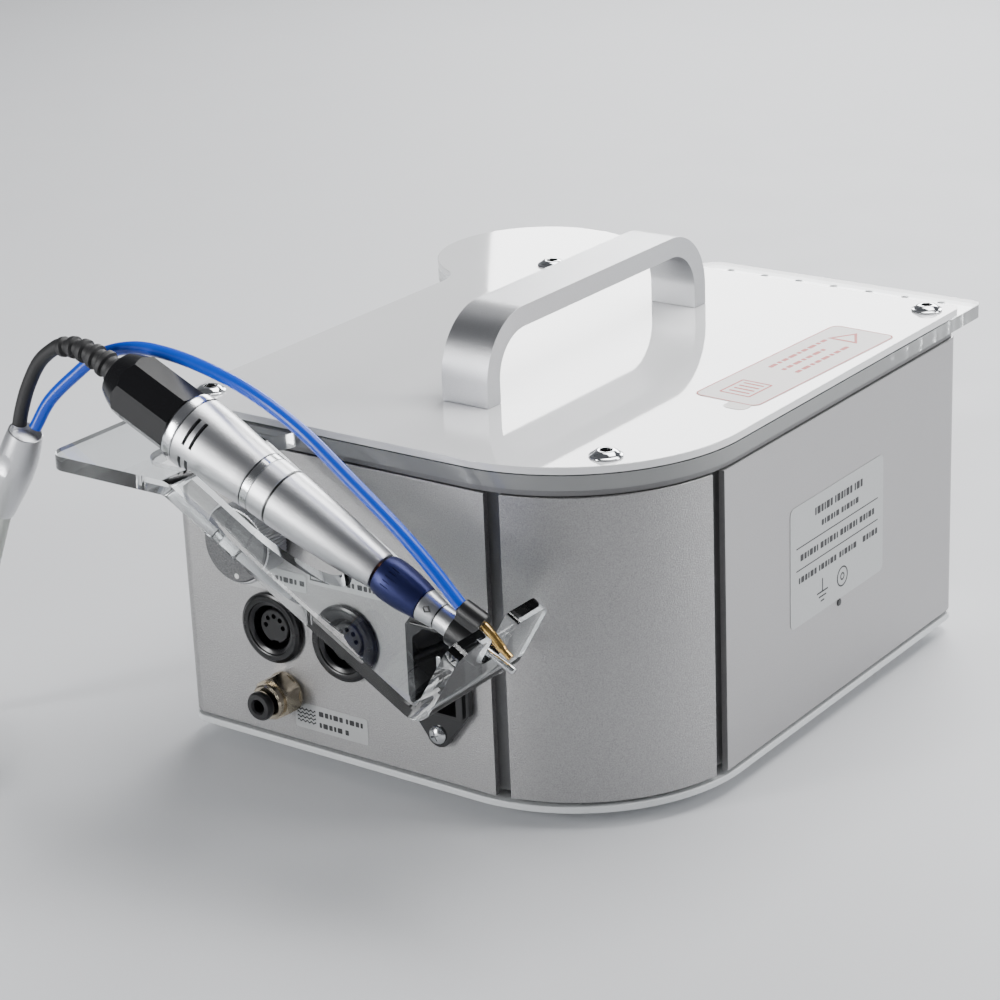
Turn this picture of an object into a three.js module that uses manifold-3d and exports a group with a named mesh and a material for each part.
// Electric nail drill with spray: a bench control box with a clear deck that folds into a
// handpiece rest, and a spray handpiece lying in it on its lead. Millimetres, +Z up.
// Modelling frame: X runs along the jack panel, Y runs from the jack panel into the box,
// Z is up from the lower edge of the walls. The finished group is moved at the end so
// that its origin is the centre of the underside of the feet's bounding box.
import * as THREE from "three";
import { mergeVertices } from "three/addons/utils/BufferGeometryUtils.js";
import Module from "manifold-3d";

const wasm = await Module();
wasm.setup();

// ---------------------------------------------------------------- driving sizes
const WIDTH = 170; // box, across the jack panel
const DEPTH = 196.6; // box, front to back
const WALL_HEIGHT = 96;
const WALL = 2;
const BIG_CORNER = 57; // outer radius of the curved corner panel
const SMALL_CORNER = 6; // outer radius of the folded corners
const GAP = 0.3; // clearance between touching pieces

const BASE_THICK = 2.5;
const BASE_DROP = 0.9; // shadow gap between the walls and the base plate
const FOOT_HEIGHT = 5;
const FOOT_RADIUS = 7;
const FOOT_INSET = 22;

const DECK_LIFT = 2.2; // shadow gap between the walls and the deck
const DECK_THICK = 4.5;
const PLATE_THICK = 2.6;
const OVERHANG = 0.4; // deck and plate stand this far proud of the walls
const PLATE_LEFT = 1.7; // the white plate's left edge

const LOBE = { x: 11.9, y: 183.6, radius: 35.7, fillet: 14, backFillet: 10 };
const LIP = { left: 64, back: 212.1, corner: 8, root: 4 }; // bit-holder lip of the deck
const BIT_HOLES = { count: 7, first: 77.9, pitch: 13.47, y: 204.9, radius: 1.3 };

const REST_FRONT = -51.4; // outer edge of the folded handpiece rest
const REST_BACK = -8.4;
const REST_TIP = 6; // corner radius of the rest's free corner
const RAMP_ANGLE = THREE.MathUtils.degToRad(30.3);
const BEND_START = 43.96;
const BEND_RADIUS = 9;
const HEEL = { x: 133.9, z: 46.2, radius: 6.5 }; // outer corner where the ramp turns up
const CRADLE_HEIGHT = 28.5; // from the heel's outer corner to the top of the prongs
const NOTCH = { half: 5.9, depth: 11.6, radius: 4, prongRadius: 4 };
const REST_SLOT = { half: 11, rear: 26.4, shoulder: 66, tip: 92, rearRadius: 8 };

const SLOPE = THREE.MathUtils.degToRad(24.5); // handpiece axis below the horizontal
const BIT_TIP = { x: 150.6, y: -29.8, z: 59.1 };

const SCREWS = [
  [9.8, 10.1],
  [148, 21.6],
  [162.4, 187.6],
  [24.4, 173.7],
];
const SCREW_SHANK = 1.9; // radius of the deck and handle screws
const SCREW_HOLE = 2.3;
const HANDLE = { x: 86.6, width: 17, front: 38, back: 160.5, thick: 6.5, top: 132.3, corner: 20 };
const KNOB = { x: 34.3, z: 66.5, radius: 12.4, depth: 10.5 };
const SOCKET = { z: 36.7, left: 37.9, right: 65.6, radius: 11.6 };
const INLET = { x: 101.6, z: 36.8, half: 11.6, straight: 11.6, ear: 24.2, screw: 20 };
const FITTING = { x: 41, z: 15.6 };

const CABLE_RADIUS = 2.25;
const HOSE_RADIUS = 2;
const LEAD_RADIUS = 3;
const COIL = { x: -77, y: -83.5, middle: 33, half: 9, height: 12.4 };
const PLUG = { x: -124, y: -92 }; // where the lead enters the plug, which points to -Y

// ---------------------------------------------------------------- levels and places
const FLOOR = -BASE_DROP - BASE_THICK - FOOT_HEIGHT;
const DECK_UNDER = WALL_HEIGHT + DECK_LIFT;
const DECK_TOP = DECK_UNDER + DECK_THICK;
const PLATE_UNDER = DECK_TOP;
const PLATE_TOP = PLATE_UNDER + PLATE_THICK;
const BASE_TOP = -BASE_DROP;
const BASE_UNDER = -BASE_DROP - BASE_THICK;

// ---------------------------------------------------------------- materials
const material = (color, roughness, metalness, extra = {}) =>
  new THREE.MeshStandardMaterial({ color, roughness, metalness, ...extra });
const blastedAluminium = () => material(0xb9b9bd, 0.45, 0.9);
const satinAluminium = () => material(0xd2d3d6, 0.3, 0.95);
const clearAcrylic = () =>
  material(0xe9eef0, 0.05, 0, { transparent: true, opacity: 0.35 });
const whiteAcrylic = () => material(0xf2f3f5, 0.08, 0);
const frostedAcrylic = () => material(0xd5d8da, 0.35, 0);
const blackPlastic = () => material(0x141416, 0.4, 0);
const darkPost = () => material(0x3b3c3e, 0.5, 0.3);
const chrome = () => material(0xe4e6e8, 0.1, 1);
const steel = () => material(0xc4c6c8, 0.2, 1);
const brass = () => material(0xc89b45, 0.25, 1);
const nickel = () => material(0xb7ab93, 0.25, 1);
const blackRubber = () => material(0x1a1a1b, 0.8, 0);
const blueTube = () => material(0x1450c8, 0.3, 0);
const greyTube = () => material(0xa9ada8, 0.4, 0);
const navyAnodised = () => material(0x2c3275, 0.3, 0.6);
const greenBoard = () => material(0x1f5a35, 0.5, 0);
const copper = () => material(0xa8623a, 0.35, 0.9);

// ---------------------------------------------------------------- small tools
function solidOf(geometry) {
  const bare = geometry.clone();
  bare.deleteAttribute("normal");
  bare.deleteAttribute("uv");
  const merged = mergeVertices(bare, 1e-4);
  return new wasm.Manifold(
    new wasm.Mesh({
      numProp: 3,
      vertProperties: new Float32Array(merged.attributes.position.array),
      triVerts: new Uint32Array(merged.index.array),
    }),
  );
}

function geometryOf(solid) {
  const mesh = solid.getMesh();
  const geometry = new THREE.BufferGeometry();
  const positions = new THREE.BufferAttribute(mesh.vertProperties, 3);
  geometry.setAttribute("position", positions);
  geometry.setIndex(new THREE.BufferAttribute(mesh.triVerts, 1));
  const flat = geometry.toNonIndexed();
  flat.computeVertexNormals();
  return flat;
}

const cut = (geometry, ...tools) =>
  geometryOf(tools.reduce((solid, tool) => solid.subtract(solidOf(tool)), solidOf(geometry)));

const join = (geometry, ...others) =>
  geometryOf(others.reduce((solid, other) => solid.add(solidOf(other)), solidOf(geometry)));

const common = (geometry, other) => geometryOf(solidOf(geometry).intersect(solidOf(other)));

// A flat outline in X and Y, extruded up from a level.
function slab(shape, level, thick, curveSegments = 4) {
  const options = { depth: thick, bevelEnabled: false, curveSegments };
  return new THREE.ExtrudeGeometry(shape, options).translate(0, 0, level);
}

// An outline drawn in X and Z, extruded along +Y from a plane.
function wallSlab(shape, plane, thick, curveSegments = 4) {
  const options = { depth: thick, bevelEnabled: false, curveSegments };
  const geometry = new THREE.ExtrudeGeometry(shape, options);
  return geometry.rotateX(Math.PI / 2).translate(0, plane + thick, 0);
}

// A turned piece along +Z from [radius, height] pairs that start and end on the axis,
// or along a closed ring when the last pair repeats the first.
function turned(pairs, segments = 18) {
  const points = pairs.map(([radius, height]) => new THREE.Vector2(radius, height));
  return new THREE.LatheGeometry(points, segments).rotateX(Math.PI / 2);
}

// A turned tube with a constant bore under an outer profile of [radius, height] pairs.
function sleeveOf(outer, bore, segments = 18) {
  const low = outer[0][1];
  const high = outer[outer.length - 1][1];
  return turned([[bore, low], ...outer, [bore, high], [bore, low]], segments);
}

const rod = (radius, low, high, segments = 12) =>
  turned([[0, low], [radius, low], [radius, high], [0, high]], segments);

const ring = (outer, bore, low, high, segments = 14) =>
  sleeveOf([[outer, low], [outer, high]], bore, segments);

// A straight rod along +Y between two planes, for cutting and for panel parts.
const rodAlongY = (radius, x, z, from, to, segments = 12) =>
  rod(radius, 0, to - from, segments).rotateX(-Math.PI / 2).translate(x, from, z);

function box(x, y, z, lengthX, lengthY, lengthZ) {
  const geometry = new THREE.BoxGeometry(lengthX, lengthY, lengthZ);
  return geometry.translate(x + lengthX / 2, y + lengthY / 2, z + lengthZ / 2);
}

function tube(points, radius, sides, steps) {
  const path = new THREE.CatmullRomCurve3(points.map((p) => new THREE.Vector3(...p)));
  const section = new THREE.Shape();
  for (let i = 0; i < sides; i++) {
    const turn = (2 * Math.PI * i) / sides;
    const place = [radius * Math.cos(turn), radius * Math.sin(turn)];
    if (i === 0) section.moveTo(...place);
    else section.lineTo(...place);
  }
  section.closePath();
  return new THREE.ExtrudeGeometry(section, { steps, extrudePath: path });
}

const part = new THREE.Group();
const handpiece = new THREE.Group();

function add(name, geometry, look, group = part) {
  const mesh = new THREE.Mesh(geometry, look);
  mesh.name = name;
  group.add(mesh);
  return mesh;
}

// ---------------------------------------------------------------- outlines
// The walls' plan outline, moved inwards by an inset.
function wallOutline(inset) {
  const small = SMALL_CORNER - inset;
  const shape = new THREE.Shape();
  shape.moveTo(SMALL_CORNER, inset);
  shape.lineTo(WIDTH - BIG_CORNER, inset);
  shape.absarc(WIDTH - BIG_CORNER, BIG_CORNER, BIG_CORNER - inset, -Math.PI / 2, 0);
  shape.lineTo(WIDTH - inset, DEPTH - SMALL_CORNER);
  shape.absarc(WIDTH - SMALL_CORNER, DEPTH - SMALL_CORNER, small, 0, Math.PI / 2);
  shape.lineTo(SMALL_CORNER, DEPTH - inset);
  shape.absarc(SMALL_CORNER, DEPTH - SMALL_CORNER, small, Math.PI / 2, Math.PI);
  shape.lineTo(inset, SMALL_CORNER);
  shape.absarc(SMALL_CORNER, SMALL_CORNER, small, Math.PI, 1.5 * Math.PI);
  return shape;
}

// The plan outline of the white plate, or of the deck with its lip and its tongue.
function topOutline(left, hasLip, hasTongue) {
  const right = WIDTH + OVERHANG;
  const front = -OVERHANG;
  const reach = LOBE.radius + LOBE.fillet;
  const sideX = left - LOBE.fillet;
  const sideY = LOBE.y - Math.sqrt(reach ** 2 - (LOBE.x - sideX) ** 2);
  const sideTurn = Math.atan2(LOBE.y - sideY, LOBE.x - sideX);
  const backReach = LOBE.radius + LOBE.backFillet;
  const backY = DEPTH + LOBE.backFillet;
  const backX = LOBE.x + Math.sqrt(backReach ** 2 - (backY - LOBE.y) ** 2);
  const backTurn = Math.atan2(backY - LOBE.y, backX - LOBE.x);
  const corner = 4;
  const shape = new THREE.Shape();
  if (hasTongue) {
    shape.moveTo(left + REST_TIP, REST_FRONT);
    shape.lineTo(BEND_START, REST_FRONT);
    shape.lineTo(BEND_START, REST_BACK);
    shape.absarc(BEND_START, front, -REST_BACK + front, -Math.PI / 2, 0);
  } else {
    shape.moveTo(left + corner, front);
  }
  shape.lineTo(WIDTH - BIG_CORNER, front);
  shape.absarc(WIDTH - BIG_CORNER, BIG_CORNER, BIG_CORNER + OVERHANG, -Math.PI / 2, 0);
  const back = hasLip ? LIP.back : DEPTH;
  shape.lineTo(right, back - corner);
  shape.absarc(right - corner, back - corner, corner, 0, Math.PI / 2);
  if (hasLip) {
    shape.lineTo(LIP.left + LIP.corner, back);
    shape.absarc(LIP.left + LIP.corner, back - LIP.corner, LIP.corner, Math.PI / 2, Math.PI);
    shape.lineTo(LIP.left, DEPTH + LIP.root);
    shape.absarc(LIP.left - LIP.root, DEPTH + LIP.root, LIP.root, 0, -Math.PI / 2, true);
  }
  shape.lineTo(backX, DEPTH);
  shape.absarc(backX, backY, LOBE.backFillet, 1.5 * Math.PI, Math.PI + backTurn, true);
  shape.absarc(LOBE.x, LOBE.y, LOBE.radius, backTurn, Math.PI + sideTurn);
  shape.absarc(sideX, sideY, LOBE.fillet, sideTurn, 0, true);
  if (hasTongue) {
    shape.lineTo(left, REST_FRONT + REST_TIP);
    shape.absarc(left + REST_TIP, REST_FRONT + REST_TIP, REST_TIP, Math.PI, 1.5 * Math.PI);
  } else {
    shape.lineTo(left, front + corner);
    shape.absarc(left + corner, front + corner, corner, Math.PI, 1.5 * Math.PI);
  }
  return shape;
}

// ---------------------------------------------------------------- base
function buildBase() {
  add("base_plate", slab(wallOutline(-0.2), BASE_UNDER, BASE_THICK - GAP), frostedAcrylic());
  const places = [
    [FOOT_INSET, FOOT_INSET],
    [WIDTH - FOOT_INSET - 12, FOOT_INSET + 12],
    [WIDTH - FOOT_INSET, DEPTH - FOOT_INSET],
    [FOOT_INSET, DEPTH - FOOT_INSET],
  ];
  places.forEach(([x, y], index) => {
    const profile = [
      [0, 0],
      [FOOT_RADIUS - 1, 0],
      [FOOT_RADIUS, 1],
      [FOOT_RADIUS, FOOT_HEIGHT - GAP],
      [0, FOOT_HEIGHT - GAP],
    ];
    const foot = turned(profile, 16).translate(x, y, FLOOR);
    add("foot_" + (index + 1), foot, blackRubber());
  });
}

// ---------------------------------------------------------------- walls
const SEAM_A = WIDTH - 50; // right edge of the jack panel
const SEAM_B = (-78.2 * Math.PI) / 180; // left edge of the curved panel, as an arc angle
const SEAM_C = (-12.1 * Math.PI) / 180; // right edge of the curved panel
const SEAM_D = 49.4; // front edge of the side panel
const RETURN = 14; // folded return of a panel round a small corner

function jackPanelOutline() {
  const shape = new THREE.Shape();
  shape.moveTo(SMALL_CORNER, 0);
  shape.lineTo(SEAM_A, 0);
  shape.lineTo(SEAM_A, WALL);
  shape.lineTo(SMALL_CORNER, WALL);
  shape.absarc(SMALL_CORNER, SMALL_CORNER, SMALL_CORNER - WALL, 1.5 * Math.PI, Math.PI, true);
  shape.lineTo(WALL, RETURN);
  shape.lineTo(0, RETURN);
  shape.lineTo(0, SMALL_CORNER);
  shape.absarc(SMALL_CORNER, SMALL_CORNER, SMALL_CORNER, Math.PI, 1.5 * Math.PI);
  return shape;
}

function curvedPanelOutline() {
  const centre = [WIDTH - BIG_CORNER, BIG_CORNER];
  const shape = new THREE.Shape();
  shape.absarc(...centre, BIG_CORNER, SEAM_B, SEAM_C);
  shape.absarc(...centre, BIG_CORNER - WALL, SEAM_C, SEAM_B, true);
  return shape;
}

function sidePanelOutline() {
  const turnX = WIDTH - SMALL_CORNER;
  const turnY = DEPTH - SMALL_CORNER;
  const shape = new THREE.Shape();
  shape.moveTo(WIDTH, SEAM_D);
  shape.lineTo(WIDTH, turnY);
  shape.absarc(turnX, turnY, SMALL_CORNER, 0, Math.PI / 2);
  shape.lineTo(WIDTH - RETURN, DEPTH);
  shape.lineTo(WIDTH - RETURN, DEPTH - WALL);
  shape.lineTo(turnX, DEPTH - WALL);
  shape.absarc(turnX, turnY, SMALL_CORNER - WALL, Math.PI / 2, 0, true);
  shape.lineTo(WIDTH - WALL, SEAM_D);
  return shape;
}

// The user's side and the left side, folded from one sheet.
function wrapPanelOutline() {
  const end = WIDTH - RETURN - GAP;
  const turnY = DEPTH - SMALL_CORNER;
  const shape = new THREE.Shape();
  shape.moveTo(end, DEPTH);
  shape.lineTo(SMALL_CORNER, DEPTH);
  shape.absarc(SMALL_CORNER, turnY, SMALL_CORNER, Math.PI / 2, Math.PI);
  shape.lineTo(0, RETURN + GAP);
  shape.lineTo(WALL, RETURN + GAP);
  shape.lineTo(WALL, turnY);
  shape.absarc(SMALL_CORNER, turnY, SMALL_CORNER - WALL, Math.PI, Math.PI / 2, true);
  shape.lineTo(end, DEPTH - WALL);
  return shape;
}

const DIAL = { x: 112, z: 52, radius: 17 };
const ROCKER = { x: 60, z: 52, halfWidth: 7.5, halfHeight: 10.5 };
const ROCKER_TILT = THREE.MathUtils.degToRad(6); // leans back at the top when off

function buildWalls() {
  const through = [-1, WALL + 1];
  const jackHoles = [
    rodAlongY(4.3, KNOB.x, KNOB.z, ...through),
    rodAlongY(8.3, SOCKET.left, SOCKET.z, ...through),
    rodAlongY(8.3, SOCKET.right, SOCKET.z, ...through),
    rodAlongY(5.3, FITTING.x, FITTING.z, ...through),
    box(INLET.x - 10.5, -1, INLET.z - 13.8, 21, WALL + 2, 27.6),
  ];
  for (const side of [-1, 1]) {
    jackHoles.push(rodAlongY(1.8, INLET.x, INLET.z + side * INLET.screw, ...through, 10));
  }
  const jack = cut(slab(jackPanelOutline(), 0, WALL_HEIGHT, 3), ...jackHoles);
  add("jack_panel", jack, blastedAluminium());
  add("curved_panel", slab(curvedPanelOutline(), 0, WALL_HEIGHT, 8), blastedAluminium());
  add("side_panel", slab(sidePanelOutline(), 0, WALL_HEIGHT, 3), blastedAluminium());
  const rockerHole = box(
    ROCKER.x - ROCKER.halfWidth - 1.2,
    DEPTH - WALL - 1,
    ROCKER.z - ROCKER.halfHeight - 1.2,
    2 * ROCKER.halfWidth + 2.4,
    WALL + 2,
    2 * ROCKER.halfHeight + 2.4,
  );
  const dialHole = rodAlongY(4.3, DIAL.x, DIAL.z, DEPTH - WALL - 1, DEPTH + 1);
  const wrap = cut(slab(wrapPanelOutline(), 0, WALL_HEIGHT, 3), rockerHole, dialHole);
  add("wrap_panel", wrap, blastedAluminium());
}

// Dark channel-shaped posts behind the two open seams.
function channelPost() {
  const shape = new THREE.Shape();
  const points = [
    [-5.4, 0],
    [5.4, 0],
    [5.4, 6],
    [3.9, 6],
    [3.9, 1.5],
    [-3.9, 1.5],
    [-3.9, 6],
    [-5.4, 6],
  ];
  points.forEach(([x, y], index) => (index ? shape.lineTo(x, y) : shape.moveTo(x, y)));
  shape.closePath();
  return slab(shape, 0, WALL_HEIGHT - 2 * GAP);
}

function buildPosts() {
  const turnA = (-84.5 * Math.PI) / 180;
  const turnB = (-10 * Math.PI) / 180;
  [turnA, turnB].forEach((turn, index) => {
    const reach = BIG_CORNER - WALL - 2.2;
    const post = add("seam_post_" + (index + 1), channelPost(), darkPost());
    const x = WIDTH - BIG_CORNER + reach * Math.cos(turn);
    const y = BIG_CORNER + reach * Math.sin(turn);
    post.position.set(x, y, GAP);
    post.rotation.z = turn + Math.PI / 2;
  });
}

// ---------------------------------------------------------------- deck and top plate
// The bent part of the rest, seen from the side: tongue, fold, ramp, fold, upstand.
function restProfile() {
  const run = [Math.cos(RAMP_ANGLE), -Math.sin(RAMP_ANGLE)];
  const rise = [Math.sin(RAMP_ANGLE), Math.cos(RAMP_ANGLE)];
  const along = (x, z, a, b) => [x + a * run[0] + b * rise[0], z + a * run[1] + b * rise[1]];
  const inner = HEEL.radius - DECK_THICK;
  const heelCentre = along(HEEL.x, HEEL.z, -HEEL.radius, HEEL.radius);
  const tipOuter = along(HEEL.x, HEEL.z, 0, CRADLE_HEIGHT);
  const tipInner = along(HEEL.x, HEEL.z, -DECK_THICK, CRADLE_HEIGHT);
  const bendZ = DECK_TOP - BEND_RADIUS;
  const upright = Math.PI / 2;
  const shape = new THREE.Shape();
  shape.moveTo(BEND_START - 1, DECK_UNDER);
  shape.lineTo(BEND_START, DECK_UNDER);
  const under = BEND_RADIUS - DECK_THICK;
  shape.absarc(BEND_START, bendZ, under, upright, upright - RAMP_ANGLE, true);
  shape.absarc(...heelCentre, HEEL.radius, -upright - RAMP_ANGLE, -RAMP_ANGLE);
  shape.lineTo(...tipOuter);
  shape.lineTo(...tipInner);
  shape.absarc(...heelCentre, inner, -RAMP_ANGLE, -upright - RAMP_ANGLE, true);
  shape.absarc(BEND_START, bendZ, BEND_RADIUS, upright - RAMP_ANGLE, upright);
  shape.lineTo(BEND_START - 1, DECK_TOP);
  return shape;
}

// What is cut away round the two prongs: drawn across the rest and up its upstand.
function prongWaste() {
  const half = (REST_BACK - REST_FRONT) / 2;
  const { half: gap, depth, radius, prongRadius } = NOTCH;
  const top = CRADLE_HEIGHT;
  const lip = 1.5;
  const shape = new THREE.Shape();
  shape.moveTo(-half - 2, top + 4);
  shape.lineTo(-half - 2, top - prongRadius);
  shape.lineTo(-half, top - prongRadius);
  shape.absarc(-half + prongRadius, top - prongRadius, prongRadius, Math.PI, Math.PI / 2, true);
  shape.absarc(-gap - lip, top - lip, lip, Math.PI / 2, 0, true);
  shape.absarc(-gap + radius, top - depth + radius, radius, Math.PI, 1.5 * Math.PI);
  shape.absarc(gap - radius, top - depth + radius, radius, -Math.PI / 2, 0);
  shape.absarc(gap + lip, top - lip, lip, Math.PI, Math.PI / 2, true);
  shape.absarc(half - prongRadius, top - prongRadius, prongRadius, Math.PI / 2, 0, true);
  shape.lineTo(half + 2, top - prongRadius);
  shape.lineTo(half + 2, top + 4);
  return shape;
}

// The long opening in the rest that the handpiece's barrel sinks into.
function slotOutline() {
  const { half, rear, shoulder, tip, rearRadius } = REST_SLOT;
  const y = BIT_TIP.y;
  const shape = new THREE.Shape();
  shape.moveTo(rear + rearRadius, y - half);
  shape.lineTo(shoulder, y - half);
  shape.absellipse(shoulder, y, tip - shoulder, half, -Math.PI / 2, Math.PI / 2);
  shape.lineTo(rear + rearRadius, y + half);
  shape.absarc(rear + rearRadius, y + half - rearRadius, rearRadius, Math.PI / 2, Math.PI);
  shape.absarc(rear + rearRadius, y - half + rearRadius, rearRadius, Math.PI, 1.5 * Math.PI);
  return shape;
}

function buildDeck() {
  const flat = slab(topOutline(-OVERHANG, true, true), DECK_UNDER, DECK_THICK, 5);
  const width = REST_BACK - REST_FRONT;
  const rest = wallSlab(restProfile(), REST_FRONT, width, 3);
  const waste = slab(prongWaste(), -20, 40, 3);
  const across = new THREE.Vector3(0, 1, 0);
  const up = new THREE.Vector3(Math.sin(RAMP_ANGLE), 0, Math.cos(RAMP_ANGLE));
  const out = new THREE.Vector3().crossVectors(across, up);
  const frame = new THREE.Matrix4().makeBasis(across, up, out);
  frame.setPosition(HEEL.x, (REST_FRONT + REST_BACK) / 2, HEEL.z);
  waste.applyMatrix4(frame);
  const holes = [];
  for (let i = 0; i < BIT_HOLES.count; i++) {
    const hole = rod(BIT_HOLES.radius, DECK_UNDER - 1, DECK_TOP + 1, 8);
    holes.push(hole.translate(BIT_HOLES.first + i * BIT_HOLES.pitch, BIT_HOLES.y, 0));
  }
  holes.push(slab(slotOutline(), 40, 80, 4), waste, ...fixingHoles(DECK_UNDER - 1, DECK_TOP + 1));
  add("clear_deck", cut(join(flat, rest), ...holes), clearAcrylic());

  const plate = slab(topOutline(PLATE_LEFT, false, false), PLATE_UNDER + GAP, PLATE_THICK - GAP, 5);
  add("top_plate", cut(plate, ...fixingHoles(PLATE_UNDER, PLATE_TOP + 1)), whiteAcrylic());

  const seal = slab(wallOutline(0.8), WALL_HEIGHT + GAP, DECK_LIFT - 2 * GAP);
  const inside = slab(wallOutline(3.7), WALL_HEIGHT - 1, DECK_LIFT + 2);
  add("deck_seal", cut(seal, inside), blackRubber());
}

const handleFeet = () => [
  [HANDLE.x, HANDLE.front + HANDLE.thick / 2],
  [HANDLE.x, HANDLE.back - HANDLE.thick / 2],
];

function fixingHoles(low, high) {
  return [...SCREWS, ...handleFeet()].map(([x, y]) =>
    rod(SCREW_HOLE, low, high, 8).translate(x, y, 0),
  );
}

// ---------------------------------------------------------------- pillars and screws
function buildFixings() {
  SCREWS.forEach(([x, y], index) => {
    const low = BASE_TOP;
    const high = DECK_UNDER - GAP;
    const pillar = turned(
      [
        [0, low],
        [3.2, low],
        [3.2, high],
        [2.2, high],
        [2.2, high - 9],
        [0, high - 9],
      ],
      10,
    ).translate(x, y, 0);
    add("pillar_" + (index + 1), pillar, satinAluminium());
    const base = PLATE_TOP + GAP;
    const profile = [
      [0, base - 12],
      [SCREW_SHANK, base - 12],
      [SCREW_SHANK, base],
      [4.9, base],
      [4.9, base + 0.5],
      [3.6, base + 1.5],
      [1.5, base + 1.8],
      [1.5, base + 0.6],
      [0, base + 0.6],
    ];
    add("deck_screw_" + (index + 1), turned(profile, 12).translate(x, y, 0), chrome());
  });
  handleFeet().forEach(([x, y], index) => {
    const seat = DECK_UNDER - GAP;
    const profile = [
      [0, seat - 2.5],
      [3.4, seat - 2.5],
      [3.4, seat],
      [SCREW_SHANK, seat],
      [SCREW_SHANK, PLATE_TOP + 8],
      [0, PLATE_TOP + 8],
    ];
    add("handle_screw_" + (index + 1), turned(profile, 8).translate(x, y, 0), steel());
  });
}

// ---------------------------------------------------------------- carrying handle
function handleOutline() {
  const { front, back, thick, top, corner } = HANDLE;
  const base = PLATE_TOP + GAP;
  const inner = corner - thick;
  const shape = new THREE.Shape();
  shape.moveTo(front, base);
  shape.lineTo(front + thick, base);
  shape.absarc(front + corner, top - corner, inner, Math.PI, Math.PI / 2, true);
  shape.absarc(back - corner, top - corner, inner, Math.PI / 2, 0, true);
  shape.lineTo(back - thick, base);
  shape.lineTo(back, base);
  shape.absarc(back - corner, top - corner, corner, 0, Math.PI / 2);
  shape.absarc(front + corner, top - corner, corner, Math.PI / 2, Math.PI);
  return shape;
}

function buildHandle() {
  const bevel = 1.5;
  const options = {
    depth: HANDLE.width - 2 * bevel,
    bevelEnabled: true,
    bevelThickness: bevel,
    bevelSize: bevel,
    bevelOffset: -bevel,
    bevelSegments: 1,
    curveSegments: 3,
  };
  // Drawn in Y and Z, then stood up: X of the outline becomes Y, Y becomes Z.
  const bow = new THREE.ExtrudeGeometry(handleOutline(), options);
  const frame = new THREE.Matrix4().makeBasis(
    new THREE.Vector3(0, 1, 0),
    new THREE.Vector3(0, 0, 1),
    new THREE.Vector3(1, 0, 0),
  );
  frame.setPosition(HANDLE.x - HANDLE.width / 2 + bevel, 0, 0);
  bow.applyMatrix4(frame);
  const bores = handleFeet().map(([x, y]) =>
    rod(SCREW_HOLE, PLATE_TOP - 1, PLATE_TOP + 9, 10).translate(x, y, 0),
  );
  add("carry_handle", cut(bow, ...bores), satinAluminium());
}

// ---------------------------------------------------------------- jack panel parts
function buildSockets() {
  const places = { handpiece_socket: SOCKET.left, pedal_socket: SOCKET.right };
  for (const [name, x] of Object.entries(places)) {
    // Seen from the front: a stepped bezel round a deep ring that takes the plug's shell.
    const profile = [
      [0, 14],
      [8, 14],
      [8, -GAP],
      [SOCKET.radius, -GAP],
      [SOCKET.radius, -1.2],
      [SOCKET.radius - 1.2, -2.4],
      [8.4, -2.4],
      [7.2, -1.6],
      [7.2, 9],
      [5.6, 9],
      [5.6, -0.4],
      [0, -0.4],
    ];
    const flipped = profile.map(([radius, depth]) => [radius, -depth]);
    const body = turned(flipped, 18).rotateX(Math.PI / 2);
    add(name, body.translate(x, 0, SOCKET.z), blackPlastic());
  }
}

function inletFlange() {
  const { half, straight, ear } = INLET;
  const round = 4.4;
  const shape = new THREE.Shape();
  const lean = Math.atan2(half - round, ear - round - straight) * 0.9;
  shape.moveTo(half, -straight);
  shape.lineTo(half, straight);
  shape.absarc(0, ear - round, round, lean * 0.55, Math.PI - lean * 0.55);
  shape.lineTo(-half, straight);
  shape.lineTo(-half, -straight);
  shape.absarc(0, -ear + round, round, Math.PI + lean * 0.55, 2 * Math.PI - lean * 0.55);
  shape.closePath();
  return shape;
}

function buildInlet() {
  const { x, z, screw } = INLET;
  const flange = wallSlab(inletFlange(), -2.8, 2.5, 3).translate(x, 0, z);
  const rim = box(x - 10.2, -4, z - 13.2, 20.4, 22, 26.4);
  const recess = new THREE.Shape();
  const points = [
    [-8, -12],
    [8, -12],
    [8, 12],
    [-4, 12],
    [-8, 8.5],
  ];
  points.forEach(([a, b], index) => (index ? recess.lineTo(a, b) : recess.moveTo(a, b)));
  recess.closePath();
  const hollow = wallSlab(recess, -6, 20).translate(x, 0, z);
  const pins = [
    box(x - 0.8 - 2, 0, z - 2, 1.6, 16, 4),
    box(x + 2.2, 0, z - 9, 1.6, 16, 4),
    box(x + 2.2, 0, z + 5, 1.6, 16, 4),
  ];
  const screwHoles = [-1, 1].map((side) =>
    rodAlongY(1.8, x, z + side * screw, -5, 5, 10),
  );
  const body = cut(join(flange, rim), hollow, ...screwHoles);
  add("power_inlet", join(body, ...pins), blackPlastic());
  [-1, 1].forEach((side, index) => {
    const head = turned(
      [
        [0, -6],
        [1.5, -6],
        [1.5, 0],
        [3, 0],
        [2.6, 1],
        [1.4, 1.6],
        [0, 1.6],
      ],
      12,
    );
    const placed = head.rotateX(Math.PI / 2).translate(x, -2.8 - GAP, z + side * screw);
    add("inlet_screw_" + (index + 1), placed, steel());
  });
}

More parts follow.
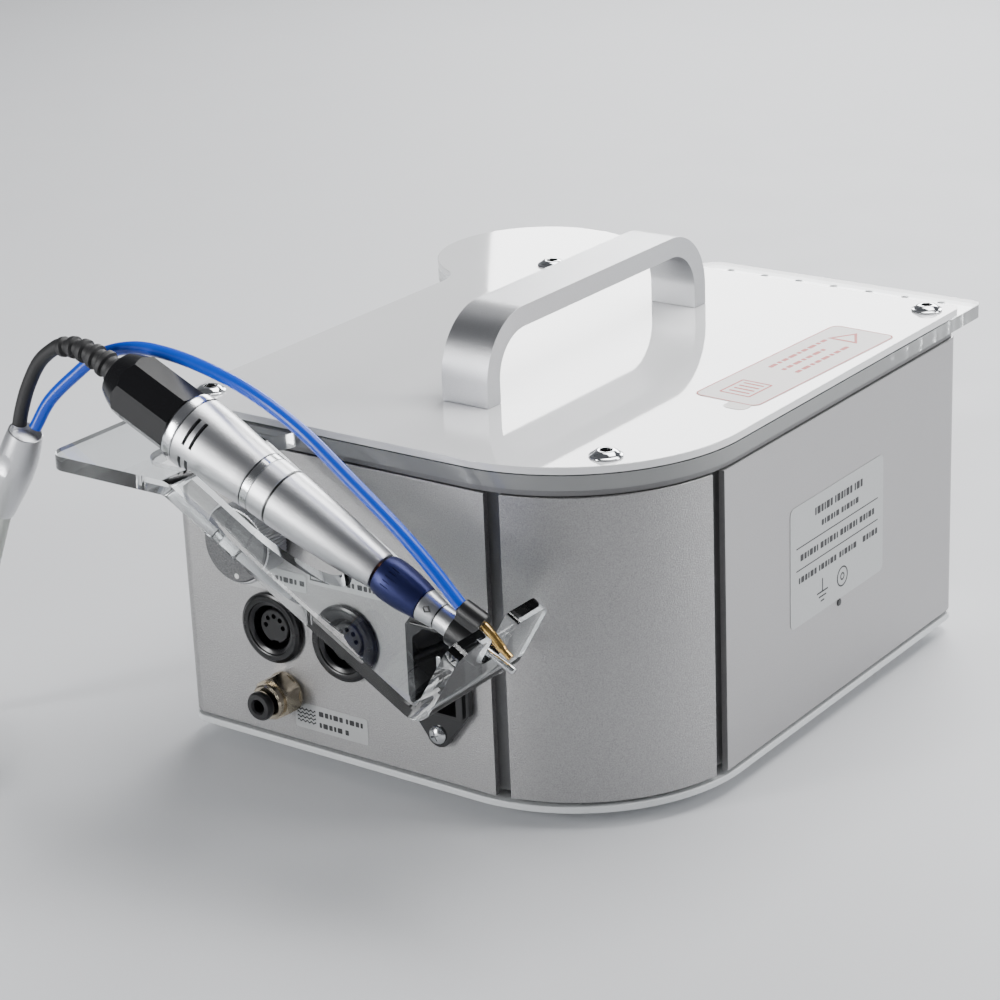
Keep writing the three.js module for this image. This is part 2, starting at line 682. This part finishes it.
function buildFitting() {
  const { x, z } = FITTING;
  const bore = 3.2;
  const outward = (geometry) => geometry.rotateX(Math.PI / 2).translate(x, 0, z);
  const hex = rod(7.2, 1.2, 7.4, 6).rotateZ(Math.PI / 6);
  const neck = turned([[0, 7], [5.7, 7], [5.7, 9.6], [5.2, 10.2], [0, 10.2]], 16);
  const washer = rod(6.6, GAP, 1.6, 16);
  const stem = rod(4.9, -8, 1, 16);
  const body = cut(join(hex, neck, washer, stem), rod(bore, -9, 11, 12));
  add("hose_fitting", outward(body), nickel());
  const collet = sleeveOf(
    [
      [2.8, 6],
      [2.8, 11.4],
      [4.5, 11.4],
      [4.7, 12.2],
      [4.7, 13.4],
      [4.2, 14],
    ],
    2.05,
    12,
  );
  add("fitting_collet", outward(collet), blackPlastic());
}

function buildFlowKnob() {
  const { x, z, radius, depth } = KNOB;
  const teeth = 24;
  const outline = new THREE.Shape();
  for (let i = 0; i < 2 * teeth; i++) {
    const turn = (Math.PI * i) / teeth;
    const reach = i % 2 ? radius : radius - 0.5;
    const place = [reach * Math.cos(turn), reach * Math.sin(turn)];
    if (i === 0) outline.moveTo(...place);
    else outline.lineTo(...place);
  }
  outline.closePath();
  const rim = wallSlab(outline, -depth - 0.5, depth - 0.8);
  const face = rodAlongY(radius - 1, 0, 0, -depth - 1.5, -depth, 24);
  const shaftBore = rodAlongY(2.6, 0, 0, -6, 2, 12);
  add("flow_knob", cut(join(rim, face), shaftBore).translate(x, 0, z), darkPost());
  const valve = join(
    rodAlongY(8.5, 0, 0, WALL + GAP, WALL + 15, 12),
    rodAlongY(3.9, 0, 0, -GAP, WALL + 2, 12),
    rodAlongY(2.2, 0, 0, -5.6, WALL, 10),
  );
  add("flow_valve", valve.translate(x, 0, z), brass());
}

// ---------------------------------------------------------------- user's side
function buildUserControls() {
  const dial = turned(
    [
      [0, 12],
      [DIAL.radius - 3, 12],
      [DIAL.radius - 1.5, 10.5],
      [DIAL.radius, 1.2],
      [2.6, 1.2],
      [2.6, -17.5],
      [0, -17.5],
    ].reverse(),
    20,
  );
  add("speed_dial", dial.rotateX(-Math.PI / 2).translate(DIAL.x, DEPTH, DIAL.z), blackPlastic());
  const { halfWidth, halfHeight } = ROCKER;
  const side = new THREE.Shape();
  side.moveTo(-4, -halfHeight + 2);
  side.lineTo(3.2, -halfHeight);
  side.lineTo(1.8, 0);
  side.lineTo(3.2, halfHeight);
  side.lineTo(-4, halfHeight - 2);
  side.closePath();
  const depth = 2 * halfWidth;
  const rocker = new THREE.ExtrudeGeometry(side, { depth, bevelEnabled: false });
  const frame = new THREE.Matrix4().makeBasis(
    new THREE.Vector3(0, 1, 0),
    new THREE.Vector3(0, 0, 1),
    new THREE.Vector3(1, 0, 0),
  );
  rocker.applyMatrix4(frame).rotateX(ROCKER_TILT);
  rocker.translate(ROCKER.x - halfWidth, DEPTH, ROCKER.z);
  add("power_rocker", rocker, blackPlastic());
}

// ---------------------------------------------------------------- inside the box
function buildInternals() {
  const floor = BASE_TOP;
  const supply = join(box(100, 84, floor, 46, 68, 3), box(104, 88, floor + 2, 38, 60, 26));
  add("power_supply", supply, blackPlastic());
  const board = join(
    box(48, 168, 20, 94, 1.6, 60),
    box(DIAL.x - 8, 169, DIAL.z - 8, 16, 9.5, 16),
    box(ROCKER.x - 9, 169, ROCKER.z - 12, 18, 17, 24),
    box(92, 160, 26, 14, 8.5, 14),
    box(118, 162, 50, 18, 6.5, 12),
    box(100, 158, floor, 24, 11.6, 24),
  );
  add("control_board", board, greenBoard());
  const pump = join(
    box(30, 62, floor, 34, 30, 26),
    rodAlongY(12, 47, 14, 88, 122, 16),
    rodAlongY(3, 40, 20, 54, 64, 10),
  );
  add("spray_pump", pump, steel());
  const tank = join(box(14, 126, floor, 56, 40, 62), rod(11, 60, 72, 16).translate(42, 146, 0));
  add("water_tank", tank, clearAcrylic());
}

// ---------------------------------------------------------------- handpiece
// Local frame: +Z runs back along the axis from the tip of the bit, +X is upwards.
const CHUCK_END = 49.2; // where the collar meets the housing
const CAP_START = 126;
const CAP_END = 153;
const CAP_RADIUS = 10.6; // across the corners of the eight facets

function buildHandpiece() {
  const bore = 8;
  const cone = turned(
    [
      [3.2, CHUCK_END + GAP],
      [5.7, CHUCK_END + GAP],
      [7.0, 60],
      [7.9, 70],
      [8.6, 79],
      [9.1, 87],
      [9.15, 96],
      [bore, 96],
      [bore, 72],
      [3.2, 68],
      [3.2, CHUCK_END + GAP],
    ],
    20,
  );
  add("front_housing", cone, satinAluminium(), handpiece);
  const barrel = sleeveOf([[9.2, 96 + GAP], [9.9, 104], [10.9, 114], [11.2, 121.6]], bore, 20);
  add("barrel", barrel, satinAluminium(), handpiece);
  const vent = sleeveOf([[11.2, 121.9], [11.2, 124.6], [10.4, 125.7]], bore, 20);
  add("vent_ring", vent, chrome(), handpiece);

  const prism = rod(CAP_RADIUS, CAP_START, CAP_END, 8).rotateZ(Math.PI / 8);
  const rounding = turned(
    [
      [0, CAP_START],
      [CAP_RADIUS + 0.4, CAP_START],
      [CAP_RADIUS + 0.4, CAP_END - 7.5],
      [CAP_RADIUS - 0.6, CAP_END - 6],
      [7.4, CAP_END],
      [0, CAP_END],
    ],
    24,
  );
  const hollow = turned(
    [
      [0, CAP_START - 1],
      [7.4, CAP_START - 1],
      [7.4, CAP_END - 9],
      [2.7, CAP_END - 6],
      [2.7, CAP_END + 1],
      [0, CAP_END + 1],
    ],
    12,
  );
  add("rear_cap", cut(common(prism, rounding), hollow), blackPlastic(), handpiece);

  const collar = sleeveOf(
    [
      [4.9, 33.3],
      [5.6, 35.5],
      [6.3, 41],
      [6.4, 45],
      [5.9, CHUCK_END - 0.6],
    ],
    3.2,
    18,
  );
  add("lock_collar", collar, navyAnodised(), handpiece);
  const nose = sleeveOf([[3.9, 13.3], [4.0, 27], [4.2, 27.6], [5.0, 33]], 2.4, 16);
  add("nose_tip", nose, satinAluminium(), handpiece);

  const clampRing = ring(5.3, 4.35, 13.6, 21.8, 16);
  const boss = rod(3.1, 13.6, 21.8, 12).translate(6.9, 0, 0);
  const clearNose = rod(4.35, 13, 23, 16);
  const nozzleSeat = rod(1.6, 13, 18, 10).translate(6.7, 0, 0);
  const clip = cut(join(clampRing, boss), clearNose, nozzleSeat);
  add("nozzle_clip", clip, blackPlastic(), handpiece);

  const nozzlePath = [
    [6.7, 0, 17.4],
    [6.6, 0, 14],
    [5.2, 0, 9.6],
    [3.7, 0, 5.6],
    [3.1, 0, 2.6],
  ];
  add("spray_nozzle", tube(nozzlePath, 1.25, 8, 8), brass(), handpiece);

  add("motor_magnet", ring(7.6, 5.4, 82, 112, 14), darkPost(), handpiece);
  const rotor = turned(
    [
      [0, 30],
      [1.9, 30],
      [2.2, 34],
      [2.2, 72],
      [2.4, 74],
      [2.4, 82],
      [4.8, 83],
      [4.8, 110],
      [2.4, 111],
      [2.4, 121],
      [0, 121],
    ],
    12,
  );
  const bitSeat = rod(1.4, 29, 40, 10);
  add("rotor", cut(rotor, bitSeat), copper(), handpiece);
  add("rear_bearing", ring(7.5, 2.75, 114, 119, 14), steel(), handpiece);
  add("front_bearing", ring(7.5, 2.75, 75, 79, 14), steel(), handpiece);
  const bit = turned([[0, 0], [0.9, 0], [1.175, 0.4], [1.175, 39], [0, 39]], 10);
  add("drill_bit", bit, steel(), handpiece);

  handpiece.position.set(BIT_TIP.x, BIT_TIP.y, BIT_TIP.z);
  handpiece.rotation.y = SLOPE - Math.PI / 2;
  part.add(handpiece);
}

// ---------------------------------------------------------------- cords
// A place beside the handpiece: how far back from the bit's tip, and how far above the axis.
function onHandpiece(along, above) {
  const x = BIT_TIP.x - along * Math.cos(SLOPE) + above * Math.sin(SLOPE);
  const z = BIT_TIP.z + along * Math.sin(SLOPE) + above * Math.cos(SLOPE);
  return [x, BIT_TIP.y, z];
}

// A flat curve in X and Z at one Y, along which a turned piece is bent.
function bendAlong(geometry, curve, length, y) {
  const position = geometry.getAttribute("position");
  for (let i = 0; i < position.count; i++) {
    const t = THREE.MathUtils.clamp(position.getZ(i) / length, 0, 1);
    const point = curve.getPointAt(t);
    const tangent = curve.getTangentAt(t);
    const side = position.getX(i);
    const x = point.x + tangent.y * side;
    const z = point.y - tangent.x * side;
    position.setXYZ(i, x, y + position.getY(i), z);
  }
  return geometry;
}

const RELIEF_TAIL = [-13.6, 127.4];
const SLEEVE_TOP = [-30.6, 97.6];
const SLEEVE_END = [-44.6, 68.6];

function buildCords() {
  const y = BIT_TIP.y;
  const relief = new THREE.SplineCurve([
    new THREE.Vector2(11.0, 122.8),
    new THREE.Vector2(3.2, 126.3),
    new THREE.Vector2(-5.2, 128.3),
    new THREE.Vector2(...RELIEF_TAIL),
  ]);
  const reliefSpan = relief.getLength();
  const ribs = [[2.55, 0]];
  const count = 5;
  for (let i = 0; i < count; i++) {
    const from = (i / count) * reliefSpan;
    const to = ((i + 0.62) / count) * reliefSpan;
    const radius = 4.6 - 1.5 * (i / count);
    ribs.push([radius, from], [radius - 0.15, to], [radius - 0.9, to + 0.1]);
    ribs.push([radius - 0.9, ((i + 1) / count) * reliefSpan - 0.1]);
  }
  ribs.push([2.55, reliefSpan], [2.55, 0]);
  const boot = bendAlong(turned(ribs, 10), relief, reliefSpan, y);
  add("strain_relief", boot, blackRubber());

  const cable = [
    [RELIEF_TAIL[0] - 0.3, y, RELIEF_TAIL[1] - 0.2],
    [-21.4, y, 121.6],
    [-27.6, y, 112.6],
    [-31.4, y, 104.4],
    [-33, y, 99.7],
  ];
  add("handpiece_cable", tube(cable, CABLE_RADIUS, 8, 6), blackRubber());

  const hose = [
    onHandpiece(22.4, 7.2),
    [122.9, y + 0.5, 84.3],
    [111.8, y + 1, 93.1],
    [94.7, y + 2, 104.4],
    [76.8, y + 3, 115.8],
    [57.2, y + 5, 123.4],
    [36, y + 8, 127],
    [18.6, y + 10.2, 127.9],
    [6.2, y + 10.6, 127.1],
    [-4.9, y + 9, 123.6],
    [-13.6, y + 6.4, 116.7],
    [-22.2, y + 3.4, 108.2],
    [-27.2, y + 0.8, 99.2],
  ];
  add("spray_hose", tube(hose, HOSE_RADIUS, 8, 26), blueTube());

  const sleeveCurve = new THREE.LineCurve(
    new THREE.Vector2(...SLEEVE_TOP),
    new THREE.Vector2(...SLEEVE_END),
  );
  const sleeveSpan = sleeveCurve.getLength();
  const profile = [
    [0, 0],
    [5.4, 0],
    [5.9, 4],
    [6.3, 10],
    [6.0, 17],
    [4.9, 24],
    [3.9, sleeveSpan - 2.5],
    [3.5, sleeveSpan],
    [0, sleeveSpan],
  ];
  const sleeve = turned(profile, 16);
  add("lead_sleeve", bendAlong(sleeve, sleeveCurve, sleeveSpan, y), satinAluminium());

  const floor = FLOOR + LEAD_RADIUS + GAP;
  const lead = [
    [SLEEVE_END[0] - 0.2, y, SLEEVE_END[1] - 0.4],
    [-50, y, 56],
    [-57, y - 0.5, 38],
    [-63, y - 1.5, 20],
    [-69.5, y - 3.2, 6],
    [-78.5, y - 6.4, -2.4],
    [-90, y - 10.2, floor],
  ];
  add("lead_cable", tube(lead, LEAD_RADIUS, 10, 18), greyTube());

  const { x, y: coilY, middle, half, height } = COIL;
  const turns = ring(middle + half, middle - half, 0, height, 28).translate(x, coilY, FLOOR);
  const tail = [
    [x - 25, coilY + 29, FLOOR + 9],
    [x - 37.5, coilY + 19, FLOOR + 7.6],
    [x - 45, coilY + 5, FLOOR + 5.6],
    [PLUG.x + 0.2, PLUG.y + 7, FLOOR + 7.2],
    [PLUG.x, PLUG.y + 2 * GAP, FLOOR + 7.5],
  ];
  add("lead_coil", join(turns, tube(tail, LEAD_RADIUS, 8, 5)), greyTube());

  const plug = turned(
    [
      [0, 0],
      [3.4, 0],
      [6.6, 14],
      [7.4, 16],
      [7.4, 31],
      [6.8, 31.5],
      [6.8, 40],
      [0, 40],
    ],
    14,
  );
  const lying = plug.rotateX(Math.PI / 2).translate(PLUG.x, PLUG.y, FLOOR + 7.5);
  add("lead_plug", lying, blackPlastic());
}

// ---------------------------------------------------------------- assembly
buildBase();
buildWalls();
buildPosts();
buildDeck();
buildFixings();
buildHandle();
buildSockets();
buildInlet();
buildFitting();
buildFlowKnob();
buildUserControls();
buildInternals();
buildHandpiece();
buildCords();

const model = new THREE.Group();
const left = LOBE.x - LOBE.radius;
const right = WIDTH + OVERHANG;
const back = LOBE.y + LOBE.radius;
part.position.set(-(left + right) / 2, -(REST_FRONT + back) / 2, -FLOOR);
model.add(part);

export default model;
